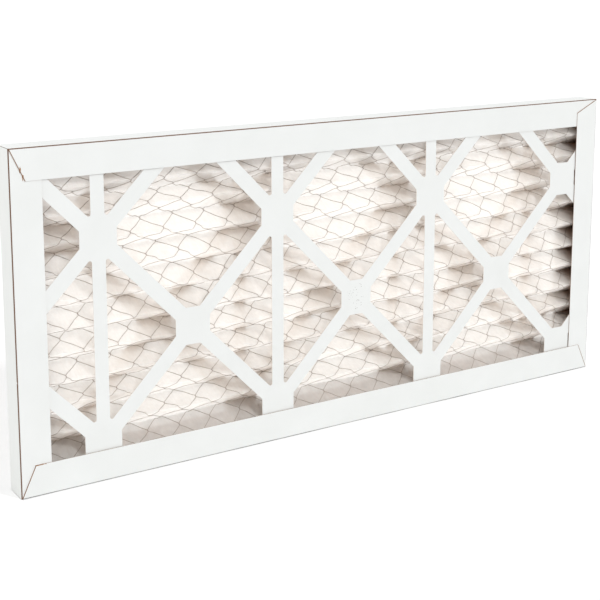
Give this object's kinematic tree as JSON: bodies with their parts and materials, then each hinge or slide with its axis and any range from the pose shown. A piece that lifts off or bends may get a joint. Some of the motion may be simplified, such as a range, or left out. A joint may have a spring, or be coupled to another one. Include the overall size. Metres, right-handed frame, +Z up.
{
  "type": "pleated panel air filter",
  "caption": "Flat pleated air filter: white board channel frame, die-cut lattices front and rear, pleated white media with a wire mesh on its front.",
  "frame": {"origin": "middle of the long bottom edge, at the middle of the depth", "axes": "X along the length, Y through the depth with the mesh face of the pleats at -Y, Z up"},
  "size_m": [0.7494, 0.0318, 0.3429],
  "materials": {
    "white_board": "matte white-lined beverage board with brown raw edges",
    "lattice_board": "matte die-cut white-lined board",
    "media": "matte non-woven polyester and cotton",
    "mesh": "thin expanded metal, dull grey"
  },
  "bodies": {
    "root": {"perimeter_frame": "white_board", "front_lattice": "lattice_board", "rear_lattice": "lattice_board", "pleated_media": "media", "wire_mesh": "mesh"}
  },
  "joints": []
}
